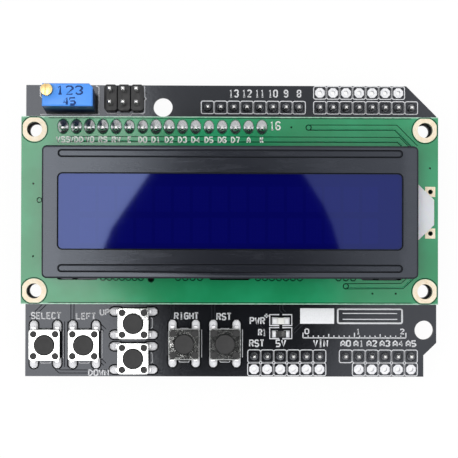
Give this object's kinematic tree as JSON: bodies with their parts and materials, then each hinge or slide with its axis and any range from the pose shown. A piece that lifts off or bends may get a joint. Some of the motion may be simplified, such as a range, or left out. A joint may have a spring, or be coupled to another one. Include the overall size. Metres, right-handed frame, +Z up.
{
  "type": "lcd keypad shield",
  "caption": "Flat plug-on module: a two-line character display over a carrier board with push buttons, header pins and a trimmer.",
  "frame": {"origin": "middle of the overall outline, in the plane of the plug-on header pin tips", "axes": "+Z up out of the display face, +X to the right along the display, +Y towards the edge with the trimmer"},
  "size_m": [0.0802, 0.0564, 0.0216],
  "materials": {
    "carrier_laminate": "black solder resist",
    "display_laminate": "green solder resist",
    "bezel_steel": "satin black",
    "display_glass": "deep blue, polished",
    "contact_rubber": "matt",
    "light_guide": "milky",
    "chip_resin": "moulded",
    "button_metal": "tinned, satin",
    "dome_steel": "spring steel",
    "contact_metal": "silver plated",
    "pin_metal": "tin plated",
    "button_plastic": "fine grain",
    "header_plastic": "moulded",
    "trimmer_plastic": "satin blue",
    "screw_brass": "turned",
    "lamp_resin": "clear resin on a pale base",
    "resistor_ceramic": "printed, tinned ends"
  },
  "bodies": {
    "module": {"carrier_board": "carrier_laminate", "upper_left_header": "header_plastic", "upper_left_pins": "pin_metal", "upper_right_header": "header_plastic", "upper_right_pins": "pin_metal", "lower_left_header": "header_plastic", "lower_left_pins": "pin_metal", "lower_right_header": "header_plastic", "lower_right_pins": "pin_metal", "program_header": "header_plastic", "program_pins": "pin_metal", "display_header": "header_plastic", "display_pins": "pin_metal", "select_button_base": "button_plastic", "select_button_cover": "button_metal", "select_button_dome": "dome_steel", "select_button_contacts": "contact_metal", "left_button_base": "button_plastic", "left_button_cover": "button_metal", "left_button_dome": "dome_steel", "left_button_contacts": "contact_metal", "up_button_base": "button_plastic", "up_button_cover": "button_metal", "up_button_dome": "dome_steel", "up_button_contacts": "contact_metal", "down_button_base": "button_plastic", "down_button_cover": "button_metal", "down_button_dome": "dome_steel", "down_button_contacts": "contact_metal", "right_button_base": "button_plastic", "right_button_cover": "button_metal", "right_button_dome": "dome_steel", "right_button_contacts": "contact_metal", "reset_button_base": "button_plastic", "reset_button_cover": "button_metal", "reset_button_dome": "dome_steel", "reset_button_contacts": "contact_metal", "trimmer_body": "trimmer_plastic", "trimmer_pins": "pin_metal", "power_lamp": "lamp_resin", "lamp_resistor": "resistor_ceramic", "display_board": "display_laminate", "display_bezel": "bezel_steel", "front_glass": "display_glass", "rear_glass": "display_glass", "contact_strips": "contact_rubber", "backlight": "light_guide", "driver_covers": "chip_resin"},
    "select_button": {"select_button_plunger": "button_plastic"},
    "left_button": {"left_button_plunger": "button_plastic"},
    "up_button": {"up_button_plunger": "button_plastic"},
    "down_button": {"down_button_plunger": "button_plastic"},
    "right_button": {"right_button_plunger": "button_plastic"},
    "reset_button": {"reset_button_plunger": "button_plastic"},
    "trimmer_screw": {"trimmer_screw": "screw_brass"}
  },
  "joints": [
    {"name": "select_button_press", "type": "slide", "parent": "module", "child": "select_button", "axis": [0, 0, -1], "range_m": [0, 0.00025], "stiffness_N_per_m": 6400, "deforming": ["select_button_dome"]},
    {"name": "left_button_press", "type": "slide", "parent": "module", "child": "left_button", "axis": [0, 0, -1], "range_m": [0, 0.00025], "stiffness_N_per_m": 6400, "deforming": ["left_button_dome"]},
    {"name": "up_button_press", "type": "slide", "parent": "module", "child": "up_button", "axis": [0, 0, -1], "range_m": [0, 0.00025], "stiffness_N_per_m": 6400, "deforming": ["up_button_dome"]},
    {"name": "down_button_press", "type": "slide", "parent": "module", "child": "down_button", "axis": [0, 0, -1], "range_m": [0, 0.00025], "stiffness_N_per_m": 6400, "deforming": ["down_button_dome"]},
    {"name": "right_button_press", "type": "slide", "parent": "module", "child": "right_button", "axis": [0, 0, -1], "range_m": [0, 0.00025], "stiffness_N_per_m": 6400, "deforming": ["right_button_dome"]},
    {"name": "reset_button_press", "type": "slide", "parent": "module", "child": "reset_button", "axis": [0, 0, -1], "range_m": [0, 0.00025], "stiffness_N_per_m": 6400, "deforming": ["reset_button_dome"]},
    {"name": "trimmer_turn", "type": "hinge", "parent": "module", "child": "trimmer_screw", "pos_m": [-0.03474, 0.02635, 0.02061], "axis": [0, 0.0628, 0.998], "continuous": true}
  ]
}
